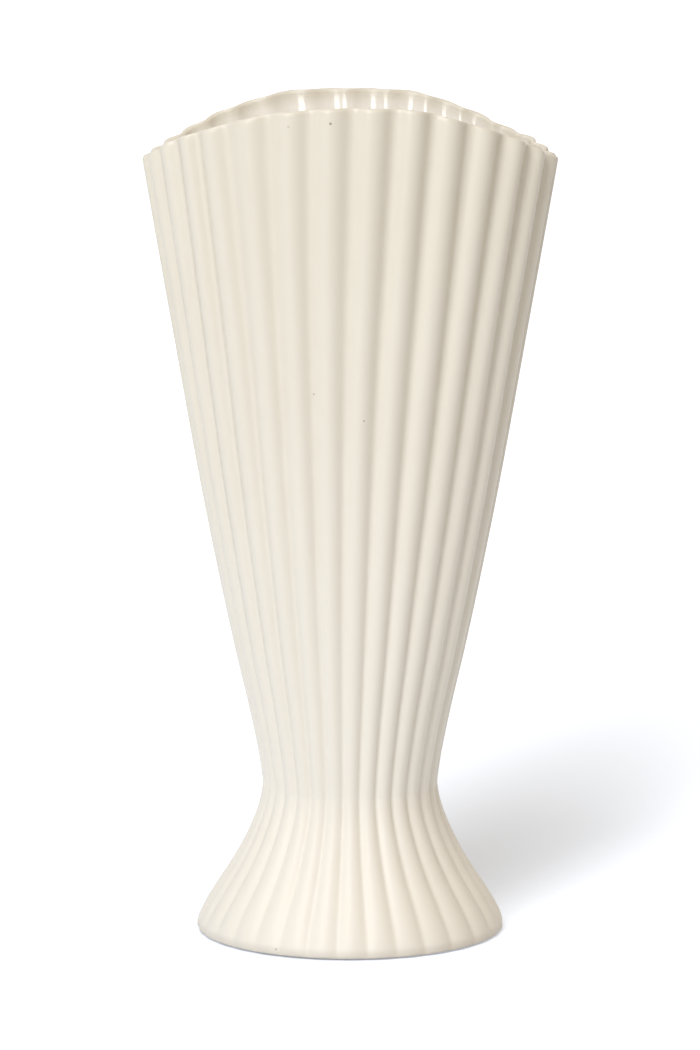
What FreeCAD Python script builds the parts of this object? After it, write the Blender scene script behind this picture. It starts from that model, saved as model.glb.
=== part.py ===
import FreeCAD, Part
import Sketcher
import math
import os

Vector = FreeCAD.Vector
FULL_TURN = 360

# A fluted fan vase: a fan-shaped vessel on a flared foot, both of fired clay.
# The origin is the centre of the resting face, +Z is up, X runs along the fan and -Y is its front.
SIZES = {
    "vase_height": 400,
    "waist_height": 70.5,
    "waist_radius": 42,
    "trim_half_width": 105.9,
    "trim_half_depth": 55.7,
    "trim_allowance": 8.9,
    "rim_drop": 32.8,
    "wall": 5,
    "floor_thickness": 8,
    "flute_count": 32,
    "crest_width_share": 0.62,
    "flute_lean_angle": 5.6,
    "rim_flute_depth": 3.6,
    "waist_flute_depth": 1.7,
    "foot_flute_depth": 2.1,
    "inner_flute_share": 0.7,
    "foot_radius": 73.9,
    "foot_ring_width": 9,
    "foot_wall": 8,
    "shelf_thickness": 9,
    "spigot_radius": 18,
    "spigot_setback": 2,
    "spigot_clearance": 0.3,
    "ring_width": 6,
    "ring_height": 2,
    "ring_clearance": 0.1,
    "pad_count": 4,
    "pad_margin": 0.9,
    "pad_thickness": 1,
    "overrun": 5,
}

# The fan is cast a trim allowance higher than its rim, which is then cut to its arch. These are the
# heights of its sections as shares of the way from the waist to the top of the casting, with the half
# width and the half depth there as shares of their growth from the waist.
BODY_HEIGHT_SHARES = (0, 0.03, 0.087, 0.2, 0.4, 0.65, 1)
BODY_WIDTH_SHARES = (0, 0.018, 0.0735, 0.2055, 0.423, 0.663, 1)
BODY_DEPTH_SHARES = (0, 0.018, 0.07, 0.19, 0.4, 0.65, 1)

# Heights of the foot's sections as shares of the way from its underside to the waist, with the radius
# there as a share of its growth from the waist, and the depth of the flutes as a share of the foot's.
# The hollow under the foot follows the flare at three of these heights.
FOOT_HEIGHT_SHARES = (0, 0.03, 0.08, 0.15, 0.25, 0.46, 0.67, 0.88, 1)
FOOT_RADIUS_SHARES = (0.9, 0.99, 0.96, 0.887, 0.757, 0.463, 0.22, 0.047, 0)
FOOT_DEPTH_SHARES = (0, 0.15, 0.6, 0.9, 1, 1, 0.92, 0.84, 0.81)
HOLLOW_STATIONS = slice(4, 7)


def make_sheet(doc):
    """The driving dimensions in millimetres, counts, shares and one angle in degrees."""
    sheet = doc.addObject("Spreadsheet::Sheet", "sizes")
    for row, (alias, value) in enumerate(SIZES.items(), start=1):
        sheet.set(f"A{row}", alias)
        sheet.set(f"B{row}", str(value))
        sheet.setAlias(f"B{row}", alias)
    doc.recompute()
    return sheet


def size(alias):
    """A driving dimension as the sheet holds it."""
    return float(sheet.get(alias))


def worked_out(expression):
    """The number that an expression on the sheet's cells gives."""
    return float(sheet.evalExpression(expression))


def new_body(label):
    """A body for one piece, which stands where it is modelled."""
    body = doc.addObject("PartDesign::Body", label)
    body.Label = label
    body.Placement = FreeCAD.Placement()
    return body


def plane_of(body, role):
    """One of a body's own origin planes."""
    return next(feature for feature in body.Origin.OriginFeatures if feature.Role == role)


def new_sketch(body, name, role, height="0"):
    """A sketch on an origin plane of its body, raised along the plane's normal by an expression."""
    sketch = body.newObject("Sketcher::SketchObject", name)
    sketch.AttachmentSupport = [(plane_of(body, role), "")]
    sketch.MapMode = "FlatFace"
    sketch.setExpression("AttachmentOffset.Base.z", height)
    return sketch


def bind(sketch, kind, geometry, expression):
    """A constraint on a sketch whose value an expression on the sheet's cells gives."""
    index = sketch.addConstraint(Sketcher.Constraint(kind, *geometry, worked_out(expression)))
    sketch.setExpression(f"Constraints[{index}]", expression)


def flute_point(half_width, half_depth, angle, inset):
    """A point on an ellipse at an angle from its front, moved inwards along the normal."""
    point = Vector(half_width * math.sin(angle), -half_depth * math.cos(angle), 0)
    normal = Vector(math.sin(angle) / half_width, -math.cos(angle) / half_depth, 0).normalize()
    return point - normal * inset


def arc_through(first, middle, last):
    """The arc of a circle through three points, turning anticlockwise whichever way they run."""
    circle = Part.Circle(first, middle, last)
    centre = circle.Center
    start, between, end = (
        math.atan2(point.y - centre.y, point.x - centre.x) for point in (first, middle, last)
    )
    full_turn = 2 * math.pi
    if (between - start) % full_turn > (end - start) % full_turn:
        start, end = end, start
    end = start + (end - start) % full_turn
    return Part.ArcOfCircle(Part.Circle(centre, Vector(0, 0, 1), circle.Radius), start, end)


def fluted_outline(half_width, half_depth, depth, lean):
    """Arcs round a fluted section: a wide crest, then a narrower valley, and so on round.

    The crest's rise and the valley's fall share the depth as their widths share the pitch,
    so that the arcs meet without a corner.
    """
    count = int(size("flute_count"))
    share = size("crest_width_share")
    pitch = 2 * math.pi / count
    shoulder = share * depth
    arcs = []
    for number in range(count):
        crest = lean + number * pitch
        left = crest - share * pitch / 2
        right = crest + share * pitch / 2
        next_left = left + pitch
        corner = flute_point(half_width, half_depth, right, shoulder)
        arcs.append(arc_through(
            flute_point(half_width, half_depth, left, shoulder),
            flute_point(half_width, half_depth, crest, 0),
            corner,
        ))
        arcs.append(arc_through(
            corner,
            flute_point(half_width, half_depth, crest + pitch / 2, depth),
            flute_point(half_width, half_depth, next_left, shoulder),
        ))
    return arcs


def loft_through(body, kind, name, sketches):
    """A smooth loft through sketches, in their order."""
    loft = body.newObject(kind, name)
    loft.Profile = sketches[0]
    loft.Sections = sketches[1:]
    loft.Ruled = False
    return loft


def outline_sketch(body, name, role, corners):
    """A closed outline of straight lines whose corners are pairs of expressions."""
    sketch = new_sketch(body, name, role)
    points = [Vector(worked_out(across), worked_out(up), 0) for across, up in corners]
    for number, point in enumerate(points):
        sketch.addGeometry(Part.LineSegment(point, points[(number + 1) % len(points)]))
    for number in range(len(points)):
        following = (number + 1) % len(points)
        sketch.addConstraint(Sketcher.Constraint("Coincident", number, 2, following, 1))
    for number, (across, up) in enumerate(corners):
        for kind, axis, expression in (("DistanceX", -2, across), ("DistanceY", -1, up)):
            if expression == "0":
                sketch.addConstraint(Sketcher.Constraint("PointOnObject", number, 1, axis))
            else:
                bind(sketch, kind, (-1, 1, number, 1), expression)
    return sketch


def circle_sketch(body, name, height, radii):
    """Circles about the vase's axis, with radii given by expressions."""
    sketch = new_sketch(body, name, "XY_Plane", height)
    for number, radius in enumerate(radii):
        sketch.addGeometry(Part.Circle(Vector(), Vector(0, 0, 1), worked_out(radius)))
        sketch.addConstraint(Sketcher.Constraint("Coincident", number, 3, -1, 1))
        bind(sketch, "Radius", (number,), radius)
    return sketch


def down_from(body, kind, name, sketch, length):
    """A pad or pocket that runs down from its sketch, as long as an expression says."""
    feature = body.newObject(kind, name)
    feature.Profile = sketch
    feature.setExpression("Length", length)
    feature.Reversed = kind == "PartDesign::Pad"
    return feature


def fan_loft(body, kind, name, bottom, inset, depth_factor):
    """The fluted fan from a height to the top of the casting, set in by a wall."""
    sketches = []
    waist_radius = size("waist_radius")
    waist_depth = size("waist_flute_depth")
    lean = math.radians(size("flute_lean_angle"))
    top = "(sizes.vase_height + sizes.trim_allowance)"
    stations = zip(BODY_HEIGHT_SHARES, BODY_WIDTH_SHARES, BODY_DEPTH_SHARES)
    for number, (up, across, through) in enumerate(stations):
        sketch = new_sketch(body, f"{name}_{number}", "XY_Plane", f"{bottom} + ({top} - ({bottom})) * {up}")
        half_width = waist_radius + (size("trim_half_width") - waist_radius) * across
        half_depth = waist_radius + (size("trim_half_depth") - waist_radius) * through
        depth = waist_depth + (size("rim_flute_depth") - waist_depth) * up
        sketch.addGeometry(fluted_outline(
            half_width - inset, half_depth - inset, depth * depth_factor, lean * up
        ))
        sketches.append(sketch)
    return loft_through(body, kind, name, sketches)


def rim_arch(body):
    """The cut above the lip, along an arc that is highest in the middle of the fan."""
    half_chord = "sizes.trim_half_width"
    drop = "sizes.rim_drop"
    radius = f"({half_chord} ^ 2 + {drop} ^ 2) / (2 * {drop})"
    side = f"{half_chord} + sizes.overrun"
    top = "sizes.vase_height + sizes.trim_allowance + sizes.overrun"
    half_angle = 2 * math.atan(worked_out(drop) / worked_out(half_chord))
    centre = Vector(0, worked_out(f"sizes.vase_height - {radius}"), 0)
    circle = Part.Circle(centre, Vector(0, 0, 1), worked_out(radius))
    arc = Part.ArcOfCircle(circle, math.pi / 2 - half_angle, math.pi / 2 + half_angle)
    corners = [
        arc.EndPoint,
        Vector(-worked_out(side), arc.EndPoint.y, 0),
        Vector(-worked_out(side), worked_out(top), 0),
        Vector(worked_out(side), worked_out(top), 0),
        Vector(worked_out(side), arc.StartPoint.y, 0),
        arc.StartPoint,
    ]
    sketch = new_sketch(body, "rim_arch_outline", "XZ_Plane")
    sketch.addGeometry([arc] + [Part.LineSegment(*ends) for ends in zip(corners, corners[1:])])
    for number in range(len(corners)):
        following = (number + 1) % len(corners)
        sketch.addConstraint(Sketcher.Constraint("Coincident", number, 2, following, 1))
    for number, run in ((1, "Horizontal"), (2, "Vertical"), (4, "Vertical"), (5, "Horizontal")):
        sketch.addConstraint(Sketcher.Constraint(run, number))
    for number in (0, 3):
        sketch.addConstraint(Sketcher.Constraint("Symmetric", number, 1, number, 2, -2))
    bind(sketch, "Radius", (0,), radius)
    bind(sketch, "DistanceX", (-1, 1, 0, 1), half_chord)
    bind(sketch, "DistanceY", (-1, 1, 0, 1), f"sizes.vase_height - {drop}")
    bind(sketch, "DistanceX", (-1, 1, 4, 1), side)
    bind(sketch, "DistanceY", (-1, 1, 4, 1), top)
    cut = body.newObject("PartDesign::Pocket", "rim_arch")
    cut.Profile = sketch
    cut.Type = "ThroughAll"
    cut.Midplane = True
    return cut


def make_fan_body():
    """The fluted fan with its arched lip, its own floor and the spigot under the floor."""
    body = new_body("fan_body")
    fan_loft(body, "PartDesign::AdditiveLoft", "outside", "sizes.waist_height", 0, 1)
    floor = "sizes.waist_height + sizes.floor_thickness"
    fan_loft(body, "PartDesign::SubtractiveLoft", "inside", floor, size("wall"), size("inner_flute_share"))
    doc.recompute()
    rim_arch(body)
    doc.recompute()
    outline = circle_sketch(body, "spigot_outline", "sizes.waist_height", ["sizes.spigot_radius"])
    down_from(body, "PartDesign::Pad", "spigot", outline, "sizes.shelf_thickness - sizes.spigot_setback")
    return body


def foot_height(share):
    """The expression for a height in the foot, as a share of the way from its underside to the waist."""
    return f"sizes.pad_thickness + (sizes.waist_height - sizes.pad_thickness) * {share}"


def foot_radius(share):
    """The expression for a radius of the foot, as a share of its growth from the waist."""
    return f"sizes.waist_radius + (sizes.foot_radius - sizes.waist_radius) * {share}"


def ring_radii(clearance):
    """The inner and outer radius of the ring's groove, or of a ring that clears it on both sides.

    The groove lies midway between the spigot's hole and the bottoms of the flutes at the waist.
    """
    inner_limit = "sizes.spigot_radius + sizes.spigot_clearance"
    outer_limit = "sizes.waist_radius - sizes.waist_flute_depth"
    middle = f"({inner_limit} + {outer_limit}) / 2"
    half_width = f"(sizes.ring_width / 2 - {clearance})"
    return [f"{middle} - {half_width}", f"{middle} + {half_width}"]


def make_flared_foot():
    """The fluted foot, hollow below, with the shelf that carries the fan."""
    body = new_body("flared_foot")
    sketches = []
    stations = zip(FOOT_HEIGHT_SHARES, FOOT_RADIUS_SHARES, FOOT_DEPTH_SHARES)
    for number, (up, across, deep) in enumerate(stations):
        sketch = new_sketch(body, f"outside_{number}", "XY_Plane", foot_height(up))
        radius = worked_out(foot_radius(across))
        sketch.addGeometry(fluted_outline(radius, radius, size("foot_flute_depth") * deep, 0))
        sketches.append(sketch)
    loft_through(body, "PartDesign::AdditiveLoft", "outside", sketches)
    doc.recompute()

    set_in = "(sizes.foot_flute_depth + sizes.foot_wall)"
    underside_radius = f"{foot_radius(FOOT_RADIUS_SHARES[0])} - sizes.foot_ring_width"
    shelf_underside = "sizes.waist_height - sizes.shelf_thickness"
    corners = [("0", "0"), (underside_radius, "0")]
    for up, across in zip(FOOT_HEIGHT_SHARES[HOLLOW_STATIONS], FOOT_RADIUS_SHARES[HOLLOW_STATIONS]):
        corners.append((f"{foot_radius(across)} - {set_in}", foot_height(up)))
    corners.append((f"sizes.waist_radius - {set_in}", shelf_underside))
    corners.append(("0", shelf_underside))
    hollow = body.newObject("PartDesign::Groove", "hollow")
    hollow.Profile = outline_sketch(body, "hollow_outline", "XZ_Plane", corners)
    hollow.ReferenceAxis = (hollow.Profile[0], ["V_Axis"])
    hollow.Angle = FULL_TURN
    doc.recompute()

    hole_radius = "sizes.spigot_radius + sizes.spigot_clearance"
    hole = circle_sketch(body, "spigot_hole_outline", "sizes.waist_height", [hole_radius])
    down_from(body, "PartDesign::Pocket", "spigot_hole", hole, "sizes.shelf_thickness + sizes.overrun")
    ring = circle_sketch(body, "ring_groove_outline", "sizes.waist_height", ring_radii("0"))
    down_from(body, "PartDesign::Pocket", "ring_groove", ring, "sizes.ring_height")
    return body


def make_luting_ring():
    """The ring of clay that fills the groove between fan and foot."""
    body = new_body("luting_ring")
    outline = circle_sketch(body, "ring_outline", "sizes.waist_height", ring_radii("sizes.ring_clearance"))
    down_from(body, "PartDesign::Pad", "ring", outline, "sizes.ring_height")
    return body


def make_foot_pads():
    """Round pads spaced evenly under the middle of the foot ring."""
    circle = f"({foot_radius(FOOT_RADIUS_SHARES[0])} - sizes.foot_ring_width / 2)"
    pads = []
    for number in range(int(size("pad_count"))):
        pad = doc.addObject("Part::Cylinder", f"pad_{number}")
        turn = f"({number} + 1 / 2) * {FULL_TURN} deg / sizes.pad_count"
        pad.setExpression("Radius", "sizes.foot_ring_width / 2 - sizes.pad_margin")
        pad.setExpression("Height", "sizes.pad_thickness")
        pad.setExpression("Placement.Base.x", f"{circle} * cos({turn})")
        pad.setExpression("Placement.Base.y", f"{circle} * sin({turn})")
        pads.append(pad)
    group = doc.addObject("Part::Compound", "foot_pads")
    group.Label = "foot_pads"
    group.Links = pads
    group.Placement = FreeCAD.Placement()
    return group


doc = FreeCAD.newDocument("fan_vase")
sheet = make_sheet(doc)
pieces = [make_fan_body(), make_flared_foot(), make_luting_ring(), make_foot_pads()]
doc.recompute()

for item in doc.Objects:
    if {"Invalid", "Error"} & set(item.State):
        raise RuntimeError(f"{item.Label} failed: {item.State}")
for piece in pieces:
    if piece.Shape.isNull() or not piece.Shape.isValid():
        raise RuntimeError(f"{piece.Label} has no valid shape")

os.makedirs("parts", exist_ok=True)
for piece in pieces:
    piece.Shape.exportStep(f"parts/{piece.Label}.step")
    print(piece.Label, len(piece.Shape.Solids), "solids", round(piece.Shape.Volume), "cubic mm")
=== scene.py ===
import math

import bpy
import numpy as np
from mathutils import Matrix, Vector


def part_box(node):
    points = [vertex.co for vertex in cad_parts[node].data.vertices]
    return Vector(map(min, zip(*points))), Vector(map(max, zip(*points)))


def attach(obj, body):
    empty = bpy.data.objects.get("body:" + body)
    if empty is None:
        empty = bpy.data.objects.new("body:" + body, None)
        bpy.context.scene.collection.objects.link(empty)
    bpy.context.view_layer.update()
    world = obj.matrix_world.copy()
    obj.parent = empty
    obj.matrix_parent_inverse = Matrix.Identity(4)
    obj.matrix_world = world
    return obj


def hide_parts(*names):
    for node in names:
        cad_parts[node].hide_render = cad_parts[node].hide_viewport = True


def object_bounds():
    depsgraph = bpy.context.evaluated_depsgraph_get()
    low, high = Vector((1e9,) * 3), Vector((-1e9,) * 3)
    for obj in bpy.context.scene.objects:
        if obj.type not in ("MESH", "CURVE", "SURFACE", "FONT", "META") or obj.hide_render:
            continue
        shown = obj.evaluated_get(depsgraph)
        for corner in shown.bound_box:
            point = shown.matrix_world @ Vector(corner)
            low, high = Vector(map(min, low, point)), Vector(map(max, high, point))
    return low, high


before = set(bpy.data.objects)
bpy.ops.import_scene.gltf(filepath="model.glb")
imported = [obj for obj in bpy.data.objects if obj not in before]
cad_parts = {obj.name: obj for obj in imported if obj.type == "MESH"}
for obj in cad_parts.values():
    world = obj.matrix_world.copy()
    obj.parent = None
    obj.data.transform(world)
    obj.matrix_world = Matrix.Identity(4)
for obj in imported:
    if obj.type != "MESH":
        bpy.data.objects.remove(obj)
cad_low, cad_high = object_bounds()


# The fan of the vase: a slip casting in cream stoneware, fluted all round inside and out, with its lip
# cut to an arch and sponged round. It is dipped in a satin cream glaze, which thins over the lip and
# gathers in the flutes, where its colour is also painted darker as painted shade, and its bare underside
# is luted to the foot.
WAIST_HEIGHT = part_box("flared_foot")[1].z
VASE_HEIGHT = cad_high.z
WAIST_RADIUS = 0.042
WALL = 0.005
FLOOR_THICKNESS = 0.008
FLOOR_FILLET = 0.005
SPIGOT_RADIUS = 0.018
SPIGOT_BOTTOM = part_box("fan_body")[0].z

# The casting before its lip is cut. It ends a little above the lip in an oval, which is about 1 mm less
# wide to each side than the solid's, so that the uneven flutes stay inside the solid's box. Over the
# oval's half width the lip's arch falls by the rim's drop. The shares say how far the wall has grown from
# the waist to the oval at each share of the height.
TRIM_ALLOWANCE = 0.0089
TRIM_HALF_WIDTH = 0.10493
TRIM_HALF_DEPTH = 0.0557
RIM_DROP = 0.0328
ARCH_RADIUS = (TRIM_HALF_WIDTH**2 + RIM_DROP**2) / (2 * RIM_DROP)
BODY_HEIGHT_SHARES = (0, 0.03, 0.087, 0.2, 0.4, 0.65, 1)
BODY_WIDTH_SHARES = (0, 0.018, 0.0755, 0.214, 0.434, 0.674, 1)
BODY_DEPTH_SHARES = (0, 0.018, 0.07, 0.19, 0.4, 0.65, 1)

# The flutes: how many there are, a crest's share of the pitch and their depth at the waist and at the
# rim, and how far they lean round on their way up. Inside they are shallower, the more so near the rim.
FLUTE_COUNT = 32
WAIST_CREST_SHARE = 0.78
RIM_CREST_SHARE = 0.62
WAIST_FLUTE_DEPTH = 0.00155
RIM_FLUTE_DEPTH = 0.0036
FLUTE_LEAN = math.radians(5.6)
INNER_FLUTE_SHARE = 0.7
INNER_RIM_SOFTENING = 0.12
SOFTENED_LENGTH = 0.060

# The sponged lip, and the upper inside wall, which the sponge has drawn a little outwards.
LIP_RISE = 0.0023
LIP_FULLNESS = 0.56
EASE_LENGTH = 0.030
EASE_SLOPE = 0.085

# How finely the skin is divided. Its columns stand closer together in the valleys, and its rings closer
# together near the waist outside and near the lip inside.
COLUMNS_PER_FLUTE = 14
CLOSER_IN_VALLEYS = 0.4
OUTSIDE_RINGS = 84
CLOSER_AT_WAIST = 1.15
LIP_RINGS = 9
INSIDE_RINGS = 72
CLOSER_AT_LIP = 1.25
FILLET_RINGS = 6
FLAT_RINGS = 5
COLUMNS = FLUTE_COUNT * COLUMNS_PER_FLUTE
even_turn = 2 * math.pi * np.arange(COLUMNS) / COLUMNS
turn = even_turn + CLOSER_IN_VALLEYS * np.sin(FLUTE_COUNT * even_turn) / FLUTE_COUNT


def smooth_through(places, values, start_slope=None):
    """A smooth curve through a table: on each span a cubic that leaves and arrives at the table's own
    slopes, each the mean of the two spans' slopes weighted by the other span's length."""
    places, values = np.array(places, float), np.array(values, float)
    slopes = np.gradient(values, places, edge_order=2)
    if start_slope is not None:
        slopes[0] = start_slope

    def curve(at):
        span = np.clip(np.searchsorted(places, at, side="right") - 1, 0, len(places) - 2)
        length = places[span + 1] - places[span]
        along = (at - places[span]) / length
        rest = 1 - along
        return (values[span] * rest**2 * (1 + 2 * along) + values[span + 1] * along**2 * (1 + 2 * rest)
                + length * along * rest * (slopes[span] * rest - slopes[span + 1] * along))

    return curve


body_width = smooth_through(BODY_HEIGHT_SHARES, BODY_WIDTH_SHARES, 0)
body_depth = smooth_through(BODY_HEIGHT_SHARES, BODY_DEPTH_SHARES, 0)


def flute_inset(turned, depth, crest_share):
    """How far the skin lies inside the crests, for an angle from a crest: a parabola falls from each
    crest to the shoulder and another climbs from each valley to it, and the two share the depth as
    their widths share the pitch, so that they meet on one slope."""
    off = np.abs((turned * FLUTE_COUNT / (2 * math.pi) + 0.5) % 1 - 0.5) * 2
    valley_share = 1 - crest_share
    crest = crest_share * (off / crest_share) ** 2
    valley = 1 - valley_share * ((1 - off) / valley_share) ** 2
    return depth * np.where(off < crest_share, crest, valley)


def bells(at, places):
    """A sum of bell curves: for each its middle, how far it reaches to each side, and its height."""
    return sum(height * np.exp(-(((at - middle) / reach) ** 2)) for middle, reach, height in places)


def waves(places):
    """A sum of sines round the vase: for each how many go round, the angle it starts at, and its height."""
    return sum(height * np.sin(count * turn + start) for count, start, height in places)


# The model for the mould was carved by hand, so its flutes aren't quite even. These are the middle and
# the reach, in degrees round from the front, of the stretches where they are pushed round, and by how
# many degrees, all the way up or only towards the rim, and of the stretches at the rim where they are cut
# deeper, and by what share. All are shifted a little, and their depth and their angle waver slowly.
FLUTE_SHIFT = 0.8
FLUTE_STRAYS = ((68, 25, 5.3),)
RIM_STRAYS = ((-44, 12, -2.0),)
DEEPER_CUTS = ((57, 34, 0.32), (-35, 25, -0.12))
DEPTH_WAVES = ((3, 1.3, 0.05), (7, 0.4, 0.04))
WANDER_WAVES = ((5, 9, 0.004), (11, -6, 0.003))
degrees_round = np.degrees((turn + math.pi) % (2 * math.pi) - math.pi)
strayed_turn = turn + np.radians(FLUTE_SHIFT + bells(degrees_round, FLUTE_STRAYS))
uneven_depth = 1 + waves(DEPTH_WAVES)


def on_ellipse(half_width, half_depth, angle, inset, height):
    """Points at an angle from the front of an ellipse, moved inwards along its normal and raised."""
    across, through = np.sin(angle), -np.cos(angle)
    normal_x, normal_y = across / half_width, through / half_depth
    length = np.hypot(normal_x, normal_y)
    x = half_width * across - inset * normal_x / length
    y = half_depth * through - inset * normal_y / length
    return np.stack(np.broadcast_arrays(x, y, height), axis=-1)


def around(radius, height):
    """Plain rings about the vase's axis, one for each radius and height."""
    radius, height = np.broadcast_arrays(radius, height)
    radius, height = np.atleast_1d(radius)[:, None], np.atleast_1d(height)[:, None]
    return np.stack(np.broadcast_arrays(radius * np.sin(turn), -radius * np.cos(turn), height), axis=-1)


def fan_wall(height, bottom, inset, flute_share):
    """A wall of the fan at given heights, one column for each angle round: an ellipse that grows with
    height, whose flutes deepen and lean as they rise, set in by the wall's thickness."""
    share = (height - bottom) / (VASE_HEIGHT + TRIM_ALLOWANCE - bottom)
    half_width = WAIST_RADIUS + (TRIM_HALF_WIDTH - WAIST_RADIUS) * body_width(share) - inset
    half_depth = WAIST_RADIUS + (TRIM_HALF_DEPTH - WAIST_RADIUS) * body_depth(share) - inset
    depth = (WAIST_FLUTE_DEPTH + (RIM_FLUTE_DEPTH - WAIST_FLUTE_DEPTH) * share) * flute_share
    depth = depth * (uneven_depth + share * bells(degrees_round, DEEPER_CUTS))
    crest_share = WAIST_CREST_SHARE + (RIM_CREST_SHARE - WAIST_CREST_SHARE) * share
    wander = waves([(count, climb * share, amount) for count, climb, amount in WANDER_WAVES])
    wander = wander * share + share**2 * np.radians(bells(degrees_round, RIM_STRAYS))
    angle = strayed_turn + FLUTE_LEAN * share + wander
    return on_ellipse(half_width, half_depth, angle, flute_inset(turn, depth, crest_share), height)


# Where the hand that cut the lip strayed from a true arch: places across the fan, how far the stray
# reaches each way, and how much too high or too low it is there. Some strays are all the way through,
# and some only in the front or the back lip, which blend into each other at the ends of the fan. Where a
# wall meets the arch is worked out in so many rounds.
LIP_STRAYS = (
    (0, 0.010, -0.0001),
    (-0.031, 0.014, 0.00125),
    (0.031, 0.014, 0.00125),
    (-0.076, 0.010, -0.0005),
    (0.073, 0.011, -0.0010),
)
FRONT_LIP_STRAYS = (
    (-0.082, 0.0145, 0.0032),
    (-0.060, 0.012, 0.0010),
    (-0.045, 0.010, 0.0004),
    (-0.026, 0.010, -0.0009),
    (0.047, 0.010, 0.0005),
    (0.064, 0.010, 0.0008),
    (0.079, 0.013, 0.0020),
)
BACK_LIP_STRAYS = ((-0.062, 0.022, 0.0009), (0.088, 0.010, 0.0012))
FRONT_BLEND = 3
ARCH_ROUNDS = 12
front_share = 0.5 + 0.5 * np.clip(FRONT_BLEND * np.cos(turn), -1, 1)


def arch_height(x, below):
    """The height of the lip at a place across the fan, or of an arch set in below it: an arch of a
    circle, with a bell curve added for each place where the hand strayed."""
    strays = bells(x, LIP_STRAYS) + front_share * bells(x, FRONT_LIP_STRAYS)
    strays = strays + (1 - front_share) * bells(x, BACK_LIP_STRAYS)
    return VASE_HEIGHT - ARCH_RADIUS + np.sqrt((ARCH_RADIUS - below) ** 2 - x**2) + strays


def wall_to_arch(bottom, inset, below):
    """The height at which each column of a wall meets an arch, found by going up and down a few times.
    The sponge went in and out with the flutes, so it is the arch's height at the crests' own sweep."""
    height = np.full(COLUMNS, VASE_HEIGHT)
    for _ in range(ARCH_ROUNDS):
        height = arch_height(fan_wall(height, bottom, inset, 0)[:, 0], below)
    return height


def eased_inset(below_lip):
    """The thickness of the wall, which tapers over its last stretch below the lip, along a parabola."""
    left = np.clip(EASE_LENGTH - below_lip, 0, None)
    return WALL - EASE_SLOPE * left**2 / (2 * EASE_LENGTH)


def bezier(start, start_pull, end_pull, end, steps):
    """Rings of points along a cubic curve from one ring of points to another, without its ends."""
    along = (np.arange(1, steps) / steps)[:, None, None]
    rest = 1 - along
    return (start * rest**3 + 3 * start_pull * rest**2 * along
            + 3 * end_pull * rest * along**2 + end * along**3)


def unit(vectors):
    """The same directions with length one."""
    return vectors / np.linalg.norm(vectors, axis=-1, keepdims=True)


def round_lip(outer, outer_rise, inner, inner_rise, crown):
    """The lip from the outside wall over its crown to the inside wall: two cubic curves that leave
    the walls in the walls' own directions and meet at the crown, level across the wall."""
    across = unit(inner - outer)
    half_wall = np.linalg.norm(inner - outer, axis=-1, keepdims=True) / 2
    rise = LIP_RISE * LIP_FULLNESS
    level = across * half_wall * LIP_FULLNESS
    up = bezier(outer, outer + outer_rise * rise, crown - level, crown, LIP_RINGS)
    down = bezier(crown, crown + level, inner + inner_rise * rise, inner, LIP_RINGS)
    return np.concatenate([up, crown[None], down])


def rings_between(start, end, steps):
    """Rings of points on straight lines from one ring to another, with the first and without the last."""
    along = (np.arange(steps) / steps)[:, None, None]
    return start * (1 - along) + end * along


def fan_rings():
    """Every ring of the fan's skin, from the middle of the spigot's end, out under the waist, up the
    outside, over the lip, down the inside and in over the floor to its middle, with which are bare."""
    floor = WAIST_HEIGHT + FLOOR_THICKNESS
    outer_top = wall_to_arch(WAIST_HEIGHT, 0, LIP_RISE)
    outer_share = np.linspace(0, 1, OUTSIDE_RINGS)[:, None] ** CLOSER_AT_WAIST
    outside = fan_wall(WAIST_HEIGHT + (outer_top - WAIST_HEIGHT) * outer_share, WAIST_HEIGHT, 0, 1)

    inner_top = wall_to_arch(floor, eased_inset(0), LIP_RISE)
    inner_low = floor + FLOOR_FILLET
    drop = (inner_top - inner_low) * (np.linspace(0, 1, INSIDE_RINGS)[:, None] ** CLOSER_AT_LIP)
    flute_share = INNER_FLUTE_SHARE - INNER_RIM_SOFTENING * np.clip(1 - drop / SOFTENED_LENGTH, 0, 1)
    inside = fan_wall(inner_top - drop, floor, eased_inset(drop), flute_share)

    middle = (outside[-1] + inside[0]) / 2
    from_centre = middle - np.array([0, 0, VASE_HEIGHT - ARCH_RADIUS])
    from_centre[:, 1] = 0
    crown = middle + unit(from_centre) * LIP_RISE
    outer_rise = unit(outside[-1] - outside[-2])
    inner_rise = unit(inside[0] - inside[1])
    lip = round_lip(outside[-1], outer_rise, inside[0], inner_rise, crown)

    foot_of_wall = inside[-1]
    inwards = unit(foot_of_wall * [-1, -1, 0])
    bend = np.linspace(0, math.pi / 2, FILLET_RINGS + 1)[1:, None, None]
    fillet = (foot_of_wall + inwards * FLOOR_FILLET * (1 - np.cos(bend))
              - [0, 0, FLOOR_FILLET] * np.sin(bend))
    floor_middle = around(0, floor)
    ground = rings_between(fillet[-1], floor_middle[0], FLAT_RINGS)[1:]

    spigot_low = around(SPIGOT_RADIUS, SPIGOT_BOTTOM)[0]
    spigot_high = around(SPIGOT_RADIUS, WAIST_HEIGHT)[0]
    spigot_end = rings_between(around(0, SPIGOT_BOTTOM)[0], spigot_low, FLAT_RINGS)
    spigot_side = rings_between(spigot_low, spigot_high, FLAT_RINGS)
    underside = rings_between(spigot_high, outside[0], FLAT_RINGS)

    rings = np.concatenate(
        [spigot_end, spigot_side, underside, outside, lip, inside, fillet, ground, floor_middle]
    )
    return rings, np.arange(len(rings)) < 3 * FLAT_RINGS


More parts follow.
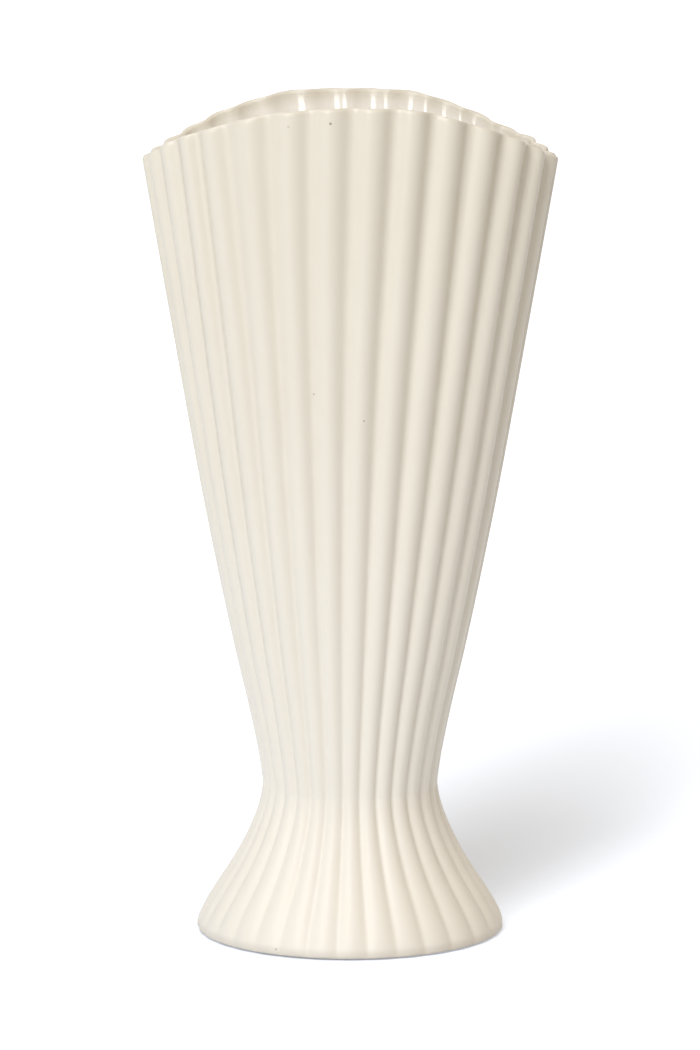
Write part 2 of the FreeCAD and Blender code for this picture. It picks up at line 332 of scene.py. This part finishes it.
def skin(name, rings, wraps=False):
    """A mesh with a face between each two neighbours on a ring and the two below them on the next.
    A profile that wraps round joins its last ring to its first. Otherwise its first and last rings are
    each one point on the axis, and triangles close the skin there."""
    count, columns = rings.shape[:2]
    here = np.arange(columns)
    beside = (here + 1) % columns
    if wraps:
        points = rings.reshape(-1, 3)
        low = np.arange(count)[:, None] * columns
        high = (low + columns) % (count * columns)
    else:
        points = np.concatenate([rings[:1, 0], rings[1:-1].reshape(-1, 3), rings[-1:, 0]])
        low = 1 + np.arange(count - 3)[:, None] * columns
        high = low + columns
    quads = np.stack([low + here, low + beside, high + beside, high + here], axis=-1)
    faces = quads.reshape(-1, 4).tolist()
    if not wraps:
        last = len(points) - 1
        top = last - columns
        first_fan = np.stack([0 * here, 1 + beside, 1 + here], axis=-1)
        last_fan = np.stack([top + here, top + beside, 0 * here + last], axis=-1)
        faces = first_fan.tolist() + faces + last_fan.tolist()
    mesh = bpy.data.meshes.new(name)
    mesh.from_pydata(points, [], faces)
    mesh.shade_smooth()
    piece = bpy.data.objects.new(name, mesh)
    bpy.context.scene.collection.objects.link(piece)
    return piece


def add_attribute(piece, name, values, wraps=False):
    """A number at each point of a piece, which its material reads, from one for each ring or for each
    ring and column."""
    values = np.broadcast_to(values, (len(values), COLUMNS)).astype(np.float32)
    if not wraps:
        values = np.concatenate([values[:1, 0], values[1:-1].ravel(), values[-1:, 0]])
    piece.data.attributes.new(name, "FLOAT", "POINT").data.foreach_set("value", values.ravel())


class Nodes:
    """The node tree of a material or of the surround, with short ways to add to it. Its place is where a
    point lies on the piece, or which way a ray goes in the surround."""

    def __init__(self, owner, shader="Principled BSDF", place="Object"):
        owner.use_nodes = True
        self.owner = owner
        self.tree = owner.node_tree
        self.shader = self.tree.nodes[shader]
        self.place = self.add("ShaderNodeTexCoord").outputs[place]

    def put(self, socket, value):
        """Joins a link to a socket, or sets a number or colour on it."""
        if isinstance(value, bpy.types.NodeSocket):
            self.tree.links.new(value, socket)
        else:
            socket.default_value = value

    def add(self, kind, inputs=(), **settings):
        """A node with its settings, and its inputs as a number, colour or link for each name or index."""
        node = self.tree.nodes.new(kind)
        for key, value in settings.items():
            setattr(node, key, value)
        for key, value in dict(inputs).items():
            self.put(node.inputs[key], value)
        return node

    def noise(self, per_metre, detail=2, rough=0.5, stretch=None):
        """Soft cloudy noise with so many lumps to the metre, from about 0.3 to about 0.7."""
        place = self.place
        if stretch:
            place = self.add("ShaderNodeMapping", {"Vector": place, "Scale": stretch}).outputs["Vector"]
        inputs = {"Vector": place, "Scale": per_metre, "Detail": detail, "Roughness": rough}
        return self.add("ShaderNodeTexNoise", inputs).outputs["Fac"]

    def attribute(self, name):
        """A number that the mesh holds at its points."""
        return self.add("ShaderNodeAttribute", attribute_name=name).outputs["Fac"]

    def sums(self, operation, first, second):
        """One sum on two numbers or links."""
        return self.add("ShaderNodeMath", {0: first, 1: second}, operation=operation).outputs[0]

    def spread(self, value, low, high, to_low=0, to_high=1):
        """A number brought smoothly from one range to another, and held at the ends."""
        inputs = {"Value": value, "From Min": low, "From Max": high, "To Min": to_low, "To Max": to_high}
        return self.add("ShaderNodeMapRange", inputs, interpolation_type="SMOOTHSTEP").outputs["Result"]

    def mix(self, share, first, second, **settings):
        """One colour turning into another, or with the second laid on it in a way of its own."""
        inputs = {0: share, 6: first, 7: second}
        return self.add("ShaderNodeMix", inputs, data_type="RGBA", **settings).outputs[2]

    def blend(self, share, first, second):
        """One number turning into another."""
        return self.add("ShaderNodeMix", {0: share, 2: first, 3: second}, data_type="FLOAT").outputs[0]

    def bump(self, height, metres, under=None):
        """A bump of so many metres for a height of one, on top of another bump if one is given."""
        inputs = {"Height": height, "Distance": metres, "Strength": 1}
        if under:
            inputs["Normal"] = under
        return self.add("ShaderNodeBump", inputs).outputs["Normal"]

    def finish(self, **inputs):
        """Joins links and sets numbers and colours on the shader's own sockets."""
        for name, value in inputs.items():
            self.put(self.shader.inputs[name.replace("_", " ")], value)
        return self.owner


GLAZE_CREAM = (0.722, 0.690, 0.603, 1)
GLAZE_WARM = (0.708, 0.671, 0.580, 1)
# Painted light: lighter and whiter, laid on low down for the brighter light near the floor.
GLAZE_PAINTED_LIGHT_LOW = (0.816, 0.790, 0.722, 1)
# Partly glaze pooled in the valleys, partly painted shade there.
GLAZE_POOLED_AND_SHADED = (0.690, 0.645, 0.550, 1)
# Partly thin glaze over the edges, partly painted shade there.
GLAZE_THIN_AND_SHADED = (0.690, 0.655, 0.585, 1)
# Painted light: whiter inside the fan, where little light reaches.
GLAZE_PAINTED_LIGHT_INSIDE = (0.900, 0.875, 0.815, 1)
SPECK_BROWN = (0.16, 0.11, 0.07, 1)
CLAY_PALE = (0.66, 0.58, 0.47, 1)
CLAY_DARK = (0.58, 0.50, 0.40, 1)

# The least and the most of what varies over the surface: all of a noise's range, a narrower part of it
# for firmer edges, how strongly the valleys are darkened, partly for pooled glaze and partly as painted
# shade, and how rough the gloss and the bare clay are.
NOISE_RANGE = (0.3, 0.7)
FIRM_RANGE = (0.35, 0.65)
POOLING_AND_SHADE = (0.3, 0.6)
GLOSS_INSIDE = (0.06, 0.09)
CLAY_ROUGHNESS = (0.82, 0.94)

# How many patches, ripples, pits and grains there are to the metre, how high or deep they are, between
# which values of its noise a grain turns dark and how dark, and how much of a speck is its core.
CLOUDS_PER_METRE = 14
POOLS_AND_SHADE_PER_METRE = 60
SATIN_PER_METRE = 35
RIPPLES_PER_METRE = 95
RIPPLE_HEIGHT = 0.00007
PITS_PER_METRE = 620
PIT_DEPTH = 0.000008
CLAY_PER_METRE = 90
GRAINS_PER_METRE = 2600
GRAIN_HEIGHT = 0.00012
DARK_GRAINS = (0.62, 0.72, 0, 0.5)
SPECK_CORE = 0.3


def glazed_clay(name, specks, satin):
    """Satin cream glaze over cream clay, clouded softly all over and pitted very finely, with a few iron
    specks. It is painted lighter and whiter towards the foot, as painted light for the light near the
    floor.
    Towards the rim its valleys are darker, partly pooled glaze and partly painted shade, and over an edge
    it is darker, partly thin glaze and partly painted shade. Inside the fan it is glossier and painted
    whiter, as painted light. Where the piece's own number says bare, the clay shows, sandy and dull."""
    made = Nodes(bpy.data.materials.new(name))
    cloud = made.spread(made.noise(CLOUDS_PER_METRE, detail=3, rough=0.55), *NOISE_RANGE)
    color = made.mix(cloud, GLAZE_CREAM, GLAZE_WARM)
    height = made.add("ShaderNodeSeparateXYZ", {0: made.place}).outputs["Z"]
    # Painted light: the glaze is painted lighter and whiter towards the foot, for the brighter light near
    # the floor.
    color = made.mix(made.spread(height, 0, VASE_HEIGHT, 1, 0), color, GLAZE_PAINTED_LIGHT_LOW)
    # Darker in the valleys, more so towards the rim: partly glaze that pools there, partly painted shade.
    pools_and_shade = made.spread(made.noise(POOLS_AND_SHADE_PER_METRE), *NOISE_RANGE, *POOLING_AND_SHADE)
    pooled_and_shaded = made.sums("MULTIPLY", made.attribute("pooled_and_shaded"), pools_and_shade)
    pooled_and_shaded = made.sums("MULTIPLY", pooled_and_shaded, made.spread(height, 0, VASE_HEIGHT))
    color = made.mix(pooled_and_shaded, color, GLAZE_POOLED_AND_SHADED)
    # Darker over the lip and the foot's edge: partly thin glaze, partly painted shade.
    color = made.mix(made.attribute("thin_and_shaded"), color, GLAZE_THIN_AND_SHADED)
    # Painted light: the inside of the fan is painted whiter, where little light reaches.
    inside = made.attribute("inside")
    color = made.mix(inside, color, GLAZE_PAINTED_LIGHT_INSIDE)
    for place, radius, strength in specks:
        inputs = {0: made.place, 1: place}
        away = made.add("ShaderNodeVectorMath", inputs, operation="DISTANCE").outputs["Value"]
        color = made.mix(made.spread(away, radius * SPECK_CORE, radius, strength, 0), color, SPECK_BROWN)

    grain = made.noise(GRAINS_PER_METRE, rough=0.6)
    patches = made.spread(made.noise(CLAY_PER_METRE, detail=3), *FIRM_RANGE)
    clay = made.mix(patches, CLAY_PALE, CLAY_DARK)
    clay = made.mix(made.spread(grain, *DARK_GRAINS), clay, SPECK_BROWN)
    bare = made.attribute("bare")
    color = made.mix(bare, color, clay)

    uneven = made.noise(SATIN_PER_METRE, detail=3)
    glazed = made.blend(inside, made.spread(uneven, *NOISE_RANGE, *satin),
                        made.spread(uneven, *NOISE_RANGE, *GLOSS_INSIDE))
    roughness = made.blend(bare, glazed, made.spread(grain, *NOISE_RANGE, *CLAY_ROUGHNESS))

    ripple = made.bump(made.noise(RIPPLES_PER_METRE, rough=0.45), RIPPLE_HEIGHT)
    pitted = made.bump(made.noise(PITS_PER_METRE), PIT_DEPTH, ripple)
    sandy = made.bump(made.sums("MULTIPLY", grain, bare), GRAIN_HEIGHT, pitted)
    return made.finish(Base_Color=color, Roughness=roughness, Normal=sandy, IOR=1.5,
                       Coat_Weight=inside, Coat_Roughness=0.04)


def point_on_front(points, x, z):
    """The one of a skin's points that is nearest to a place across and up its front."""
    front = points[points[:, 1] < 0]
    return tuple(front[np.argmin((front[:, 0] - x) ** 2 + (front[:, 2] - z) ** 2)])


# Iron specks in the glaze: places across and up the front, their radius, and how dark they are.
FAN_SPECKS = (
    (-0.0093, 0.3934, 0.0009, 0.75),
    (-0.0297, 0.3931, 0.0008, 0.25),
    (-0.0168, 0.2664, 0.0007, 0.45),
    (0.0068, 0.2551, 0.0007, 0.50),
)

# How rough the satin is, how narrowly the valleys are darkened, partly for pooled glaze and partly as
# painted shade, how much the lip is darkened, partly for thin glaze and partly as painted shade, over
# how many rings it turns glossy past the lip, and from which angle an edge is sharp.
FAN_SATIN = (0.29, 0.35)
POOL_AND_SHADE_NARROWNESS = 1.5
THIN_AND_SHADE_ON_LIP = 0.6
GLOSS_RINGS = 3
SHARP_ANGLE = math.radians(50)

rings, bare = fan_rings()
lip_start = 3 * FLAT_RINGS + OUTSIDE_RINGS
lip_end = lip_start + 2 * LIP_RINGS - 1
ring_numbers = np.arange(len(rings))
on_lip = (ring_numbers >= lip_start) & (ring_numbers < lip_end)
along_lip = (ring_numbers + 0.5 - lip_start) / (lip_end - lip_start)
past_lip = np.clip((ring_numbers - lip_end) / GLOSS_RINGS, 0, 1)
# Where the valleys are darkened: partly glaze pooling there, partly painted shade.
pooled_and_shaded = flute_inset(turn, 1, RIM_CREST_SHARE) ** POOL_AND_SHADE_NARROWNESS
fan = skin("glazed_fan", rings)
add_attribute(fan, "pooled_and_shaded", ~bare[:, None] * pooled_and_shaded)
# The lip is darkened: partly thin glaze, partly painted shade.
add_attribute(fan, "thin_and_shaded", (on_lip * THIN_AND_SHADE_ON_LIP * np.sin(math.pi * along_lip))[:, None])
add_attribute(fan, "bare", bare[:, None])
# Past the lip the inside is glossier and is painted whiter, as painted light.
add_attribute(fan, "inside", past_lip[:, None])
fan.data.set_sharp_from_angle(angle=SHARP_ANGLE)
outside_points = rings[lip_start - OUTSIDE_RINGS:lip_start].reshape(-1, 3)
fan_specks = [(point_on_front(outside_points, x, z), radius, dark) for x, z, radius, dark in FAN_SPECKS]
fan.data.materials.append(glazed_clay("cream_glaze_on_fan", fan_specks, FAN_SATIN))
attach(fan, "root")
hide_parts("fan_body")


# The foot: a flared, fluted casting of the same clay, hollow below, with a shelf that the fan stands on
# and a hole for its spigot. It is glazed outside down to its rolled edge. The ring that it stands on and
# the hollow are left bare.
FOOT_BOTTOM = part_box("flared_foot")[0].z
FOOT_RADIUS = 0.0739
FOOT_WALL = 0.008
FOOT_RING_WIDTH = 0.009
SHELF_THICKNESS = 0.009
SPIGOT_CLEARANCE = 0.0003
RING_LOW, RING_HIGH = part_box("luting_ring")
RING_WIDTH = 0.006
GROOVE_CLEARANCE = 0.0001

# The flare from its edge up to the waist. For each share of its height it has the share by which its
# radius has grown from the waist's to the foot's, and the share of the flutes' full depth. The hollow
# follows three of these stations.
FLARE_HEIGHT_SHARES = (0.012, 0.08, 0.15, 0.25, 0.46, 0.67, 0.88, 1)
FLARE_RADIUS_SHARES = (0.990, 0.96, 0.887, 0.757, 0.463, 0.22, 0.047, 0)
FLARE_DEPTH_SHARES = (0.45, 0.80, 0.95, 1, 1, 0.92, 0.84, 0.81)
HOLLOW_STATIONS = slice(3, 6)
FOOT_FLUTE_DEPTH = 0.0016
FOOT_CREST_SHARE = 0.82

# The rolled edge turns in tightly to the ring under the foot. Its glaze hangs a little below the clay and
# ends soon after the bend.
EDGE_SLOPE = -0.05
EDGE_DROP = 0.0003
ROLL_TIGHTNESS = 0.35
GLAZE_FADE = 4
UNDERSIDE_SHARE = 0.9
ROLL_RINGS = 8
FLARE_RINGS = 76
CLOSER_AT_EDGE = 1.1
HOLLOW_RINGS = 30

foot_flare = smooth_through(FLARE_HEIGHT_SHARES, FLARE_RADIUS_SHARES, EDGE_SLOPE)
foot_flutes = smooth_through(FLARE_HEIGHT_SHARES, FLARE_DEPTH_SHARES)


def foot_radius(share):
    """A radius of the foot as a share of its growth from the waist."""
    return WAIST_RADIUS + (FOOT_RADIUS - WAIST_RADIUS) * share


def foot_height(share):
    """A height in the foot as a share of the way from its underside to the waist."""
    return FOOT_BOTTOM + (WAIST_HEIGHT - FOOT_BOTTOM) * share


def foot_rings():
    """Every ring of the foot's skin, round its wall: from the ring it stands on out round the rolled
    edge, up the fluted flare, in over the shelf and its groove, down the spigot's hole and down the
    hollow back to the ring, with how bare of glaze each is. The flutes fade out over the roll."""
    underside = foot_radius(UNDERSIDE_SHARE)
    edge_share = FLARE_HEIGHT_SHARES[0]
    edge_height = foot_height(edge_share)
    edge_radius = foot_radius(FLARE_RADIUS_SHARES[0])
    bend = np.linspace(0, math.pi / 2, ROLL_RINGS, endpoint=False)
    roll = around(underside + (edge_radius - underside) * np.sin(bend) ** ROLL_TIGHTNESS,
                  edge_height - (edge_height - FOOT_BOTTOM + EDGE_DROP) * np.cos(bend))

    share = edge_share + (1 - edge_share) * np.linspace(0, 1, FLARE_RINGS)[:, None] ** CLOSER_AT_EDGE
    full_depth = WAIST_FLUTE_DEPTH + (FOOT_FLUTE_DEPTH - WAIST_FLUTE_DEPTH) * np.sqrt(1 - share)
    depth = full_depth * foot_flutes(share) / foot_flutes(1) ** share * uneven_depth
    crest_share = FOOT_CREST_SHARE + (WAIST_CREST_SHARE - FOOT_CREST_SHARE) * share
    radius = foot_radius(foot_flare(share))
    inset = flute_inset(turn, depth, crest_share)
    flare = on_ellipse(radius, radius, strayed_turn, inset, foot_height(share))
    roll = roll + (flare[0] - around(edge_radius, edge_height)) * np.sin(bend)[:, None, None] ** 2

    groove_outer = RING_HIGH.x + GROOVE_CLEARANCE
    groove_inner = groove_outer - RING_WIDTH - 2 * GROOVE_CLEARANCE
    hole = SPIGOT_RADIUS + SPIGOT_CLEARANCE
    shelf = around([groove_outer, groove_outer, groove_inner, groove_inner, hole],
                   [WAIST_HEIGHT, RING_LOW.z, RING_LOW.z, WAIST_HEIGHT, WAIST_HEIGHT])

    set_in = FOOT_FLUTE_DEPTH + FOOT_WALL
    shelf_underside = WAIST_HEIGHT - SHELF_THICKNESS
    station_heights = [foot_height(s) for s in FLARE_HEIGHT_SHARES[HOLLOW_STATIONS]]
    station_radii = [foot_radius(s) - set_in for s in FLARE_RADIUS_SHARES[HOLLOW_STATIONS]]
    hollow_radius = smooth_through(
        [FOOT_BOTTOM, *station_heights, shelf_underside],
        [underside - FOOT_RING_WIDTH, *station_radii, WAIST_RADIUS - set_in],
    )
    down = np.linspace(shelf_underside, FOOT_BOTTOM, HOLLOW_RINGS)
    hollow = around(hollow_radius(down), down)
    roof = around([hole, (hole + WAIST_RADIUS - set_in) / 2], shelf_underside)
    ring_face = around(underside - FOOT_RING_WIDTH / 2, FOOT_BOTTOM)

    rings = np.concatenate([roll, flare, shelf, roof, hollow, ring_face])
    bare = np.ones(len(rings))
    bare[:ROLL_RINGS] = np.cos(bend) ** GLAZE_FADE
    bare[ROLL_RINGS:ROLL_RINGS + FLARE_RINGS] = 0
    return rings, bare


# How rough the satin is, how the line wavers where the glaze was wiped off the ring, over how many rings
# past the roll the edge is darkened, partly for thin glaze and partly as painted shade, and the one
# speck: its place, its radius and how dark it is.
FOOT_SATIN = (0.42, 0.48)
LINE_WAVES = ((2, 0.7, 0.10), (9, 0, 0.07), (23, 2, 0.05))
THIN_AND_SHADE_PAST_ROLL = 6
FOOT_SPECKS = (((-0.0350, -0.0640, 0.0035), 0.0008, 0.5),)

rings, bare = foot_rings()
glazed = np.arange(len(rings)) < ROLL_RINGS + FLARE_RINGS
# The foot's rolled edge is darkened: partly thin glaze, partly painted shade.
thin_and_shaded = np.zeros(len(rings))
thin_and_shaded[:ROLL_RINGS + THIN_AND_SHADE_PAST_ROLL] = np.sin(math.pi * np.linspace(0, 1, ROLL_RINGS + THIN_AND_SHADE_PAST_ROLL))
foot = skin("glazed_foot", rings, wraps=True)
# The foot's valleys are darkened too: partly pooled glaze, partly painted shade.
add_attribute(foot, "pooled_and_shaded", glazed[:, None] * pooled_and_shaded, wraps=True)
add_attribute(foot, "thin_and_shaded", thin_and_shaded[:, None], wraps=True)
add_attribute(foot, "bare", np.clip(bare[:, None] * (1 + waves(LINE_WAVES)), 0, 1), wraps=True)
foot.data.set_sharp_from_angle(angle=SHARP_ANGLE)
foot.data.materials.append(glazed_clay("cream_glaze_on_foot", FOOT_SPECKS, FOOT_SATIN))
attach(foot, "root")
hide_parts("flared_foot")


# The luting ring: the ring of stiff slip that fills the groove between fan and foot and sticks the two
# castings together before the firing. It is closed in, bare and a little coarser than the castings.
SLIP_PER_METRE = 120
SLIP_GRAINS_PER_METRE = 1800
SLIP_GRAIN_HEIGHT = 0.0002
SLIP_DARK_GRAINS = (0.6, 0.72, 0, 0.6)
SLIP_ROUGHNESS = (0.85, 0.95)


def bare_slip():
    """Fired slip without glaze: pale sandy clay with darker grains and small pits."""
    made = Nodes(bpy.data.materials.new("bare_slip"))
    patches = made.spread(made.noise(SLIP_PER_METRE, detail=3), *FIRM_RANGE)
    color = made.mix(patches, CLAY_PALE, CLAY_DARK)
    grain = made.noise(SLIP_GRAINS_PER_METRE, detail=3, rough=0.6)
    color = made.mix(made.spread(grain, *SLIP_DARK_GRAINS), color, SPECK_BROWN)
    roughness = made.spread(grain, *NOISE_RANGE, *SLIP_ROUGHNESS)
    return made.finish(Base_Color=color, Roughness=roughness, Normal=made.bump(grain, SLIP_GRAIN_HEIGHT))


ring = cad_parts["luting_ring"]
ring.data.materials.clear()
ring.data.materials.append(bare_slip())


# The foot pads: four discs cut from pressed felt and stuck under the foot ring, so that the unglazed
# clay doesn't scratch what the vase stands on. Their edges are soft and a little ragged.
PAD_LOW, PAD_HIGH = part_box("foot_pads")
PAD_COUNT = 4
PAD_RADIUS = 0.0036
PAD_CIRCLE = foot_radius(UNDERSIDE_SHARE) - FOOT_RING_WIDTH / 2
PAD_COLUMNS = 64
PAD_FACE_SHARES = (0, 0.35, 0.7)
PAD_ROUNDING = 0.00025
PAD_ROUNDING_RINGS = 5

# The frays in a pad's edge: how many go round, how far they are turned from pad to pad, and how deep.
PAD_FRAYS = ((7, 1, 0.03), (19, 2, 0.02))

FELT_DARK = (0.36, 0.33, 0.29, 1)
FELT_PALE = (0.62, 0.59, 0.53, 1)
FIBRES_PER_METRE = 3200
FIBRE_STRETCH = (1, 1, 2.5)
TUFTS_PER_METRE = 900
NAP_HEIGHT = 0.00015


def felt_pad(number):
    """One disc's rings, from the middle of its underside out, round its ragged edge and back in over
    its top: the radius wanders with the angle as a sum of sines."""
    angle = 2 * math.pi * np.arange(PAD_COLUMNS) / PAD_COLUMNS
    fray = 1 - sum(depth * (1 + np.sin(count * angle + turned * number)) / 2
                   for count, turned, depth in PAD_FRAYS)
    thickness = PAD_HIGH.z - PAD_LOW.z
    bend = np.linspace(0, math.pi / 2, PAD_ROUNDING_RINGS)
    flat = np.array(PAD_FACE_SHARES) * PAD_RADIUS
    out = PAD_RADIUS - PAD_ROUNDING + PAD_ROUNDING * np.sin(bend)
    low = PAD_ROUNDING * (1 - np.cos(bend))
    radii = np.concatenate([flat, out, out[::-1], flat[::-1]])
    heights = np.concatenate([0 * flat, low, thickness - low[::-1], 0 * flat + thickness])
    seat = (number + 0.5) * 2 * math.pi / PAD_COUNT
    x = PAD_CIRCLE * math.cos(seat) + radii[:, None] * fray * np.cos(angle)
    y = PAD_CIRCLE * math.sin(seat) + radii[:, None] * fray * np.sin(angle)
    z = np.broadcast_to(heights[:, None] + PAD_LOW.z, x.shape)
    return np.stack([x, y, z], axis=-1)


def pressed_felt():
    """Warm grey felt: pale and dark fibres in a fine tangle, with a soft sheen and a hairy bump."""
    made = Nodes(bpy.data.materials.new("pressed_felt"))
    tangle = made.noise(FIBRES_PER_METRE, detail=4, rough=0.7, stretch=FIBRE_STRETCH)
    color = made.mix(made.spread(tangle, *FIRM_RANGE), FELT_DARK, FELT_PALE)
    nap = made.bump(made.sums("ADD", tangle, made.noise(TUFTS_PER_METRE)), NAP_HEIGHT)
    return made.finish(Base_Color=color, Normal=nap, Roughness=0.95, Sheen_Weight=0.4)


felt = pressed_felt()
for number in range(PAD_COUNT):
    pad = skin(f"felt_pad_{number}", felt_pad(number))
    pad.data.materials.append(felt)
    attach(pad, "root")
    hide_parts("foot_pads")


# The stage: a wide white floor that fades into a white surround and keeps the vase's soft shadow, a
# large soft window of light from the front left with a skylight over it, and the camera of the
# photograph.
FLOOR_HALF_WIDTH = 12
FLOOR_COLOR = (0.795, 0.847, 0.925, 1)
WHITE = (1, 1, 1, 1)

# The glow that only the camera, mirrors and glass see on the floor: weakest in the middle of a turned
# oval behind the vase, from where it rises with the distance up to a limit.
GLOW_COLOR = (0.82, 0.89, 1.0, 1)
GLOW_NEAR = 0.176
GLOW_FAR = 0.95
GLOW_CENTRE = (0.038, 0.138, 0)
GLOW_TURN = math.radians(-17.3)
GLOW_HALF_WIDTH = 0.1906
GLOW_HALF_DEPTH = 1.044
GLOW_POWER = 1.5

SURROUND_LEFT = (0.03, 0.03, 0.06, 1)
SURROUND_RIGHT = (0.25, 0.145, 0.03, 1)
OVERHEAD = (0.70, 0.68, 0.63, 1)
LAMP_DISTANCE = 2.4
WINDOW_AZIMUTH = math.radians(-26)
WINDOW_ELEVATION = math.radians(20)
WINDOW_WIDTH = 0.75
WINDOW_HEIGHT = 1.3
WINDOW_POWER = 17.5
SKYLIGHT_AZIMUTH = math.radians(-30)
SKYLIGHT_ELEVATION = math.radians(52)
SKYLIGHT_WIDTH = 1.1
SKYLIGHT_HEIGHT = 1.1
SKYLIGHT_POWER = 21
CAMERA_DISTANCE = 3.0211
CAMERA_ELEVATION = math.radians(9.15)
CAMERA_TARGET = Vector((0, 0, 0.19587))
CAMERA_REACH = 50
FOCAL_PIXELS = 6336
PHOTO_HEIGHT = 1050
SENSOR = 36


def seen_directly(made):
    """One for rays from the camera, mirrors and glass, and nought for light that spreads."""
    rays = made.add("ShaderNodeLightPath").outputs
    seen = made.sums("MAXIMUM", rays["Is Camera Ray"], rays["Is Glossy Ray"])
    return made.sums("MAXIMUM", seen, rays["Is Transmission Ray"])


def white_floor():
    """A matt white floor that the camera sees a little lighter than the light on it would make it,
    and lighter still away from the vase's shadow, so that it fades into the surround."""
    made = Nodes(bpy.data.materials.new("white_floor"))
    inputs = {
        "Vector": made.place,
        "Location": GLOW_CENTRE,
        "Rotation": (0, 0, GLOW_TURN),
        "Scale": (GLOW_HALF_WIDTH, GLOW_HALF_DEPTH, 1),
    }
    oval = made.add("ShaderNodeMapping", inputs, vector_type="TEXTURE").outputs["Vector"]
    away = made.add("ShaderNodeVectorMath", {0: oval}, operation="LENGTH").outputs["Value"]
    glow = made.sums("ADD", made.sums("POWER", away, GLOW_POWER), GLOW_NEAR)
    glow = made.sums("MULTIPLY", made.sums("MINIMUM", glow, GLOW_FAR), seen_directly(made))
    return made.finish(Base_Color=FLOOR_COLOR, Roughness=0.9, Specular_IOR_Level=0,
                       Emission_Color=GLOW_COLOR, Emission_Strength=glow)


corners = [(x * FLOOR_HALF_WIDTH, y * FLOOR_HALF_WIDTH, 0) for x, y in ((-1, -1), (1, -1), (1, 1), (-1, 1))]
floor_mesh = bpy.data.meshes.new("floor")
floor_mesh.from_pydata(corners, [], [(0, 1, 2, 3)])
floor = bpy.data.objects.new("floor", floor_mesh)
bpy.context.scene.collection.objects.link(floor)
floor_mesh.materials.append(white_floor())


def surround():
    """The light all round: brighter and warmer from the left to the right, with more from overhead. The
    camera, mirrors and glass see it plain white."""
    made = Nodes(bpy.data.worlds.new("surround"), shader="Background", place="Generated")
    parts = made.add("ShaderNodeSeparateXYZ", {0: made.place}).outputs
    rightwards = made.add("ShaderNodeMapRange", {"Value": parts["X"], "From Min": -1}).outputs["Result"]
    upwards = made.add("ShaderNodeMapRange", {"Value": parts["Z"]}).outputs["Result"]
    light = made.mix(rightwards, SURROUND_LEFT, SURROUND_RIGHT)
    light = made.mix(upwards, light, OVERHEAD, blend_type="ADD")
    return made.finish(Color=made.mix(seen_directly(made), light, WHITE))


bpy.context.scene.world = surround()


def from_front(azimuth, elevation, distance, target):
    """A place at a distance from a target, at an elevation and at an azimuth from the front towards +X."""
    level = distance * math.cos(elevation)
    up = distance * math.sin(elevation)
    return target + Vector((level * math.sin(azimuth), -level * math.cos(azimuth), up))


def aim(thing, target):
    """Points a lamp or camera at a target."""
    thing.rotation_euler = (thing.location - target).to_track_quat("Z", "Y").to_euler()


def soft_window(name, azimuth, elevation, width, height, power):
    """A rectangular lamp that faces the vase from one side and from above."""
    lamp = bpy.data.lights.new(name, "AREA")
    lamp.shape = "RECTANGLE"
    lamp.size = width
    lamp.size_y = height
    lamp.energy = power
    window = bpy.data.objects.new(name, lamp)
    bpy.context.scene.collection.objects.link(window)
    window.location = from_front(azimuth, elevation, LAMP_DISTANCE, CAMERA_TARGET)
    aim(window, CAMERA_TARGET)


soft_window("window", WINDOW_AZIMUTH, WINDOW_ELEVATION, WINDOW_WIDTH, WINDOW_HEIGHT, WINDOW_POWER)
soft_window("skylight", SKYLIGHT_AZIMUTH, SKYLIGHT_ELEVATION,
            SKYLIGHT_WIDTH, SKYLIGHT_HEIGHT, SKYLIGHT_POWER)

lens = bpy.data.cameras.new("camera")
lens.sensor_width = SENSOR
lens.lens = FOCAL_PIXELS / PHOTO_HEIGHT * SENSOR
lens.clip_end = CAMERA_REACH
camera = bpy.data.objects.new("camera", lens)
bpy.context.scene.collection.objects.link(camera)
camera.location = from_front(0, CAMERA_ELEVATION, CAMERA_DISTANCE, CAMERA_TARGET)
aim(camera, CAMERA_TARGET)
bpy.context.scene.camera = camera
bpy.context.scene.view_settings.view_transform = "Standard"
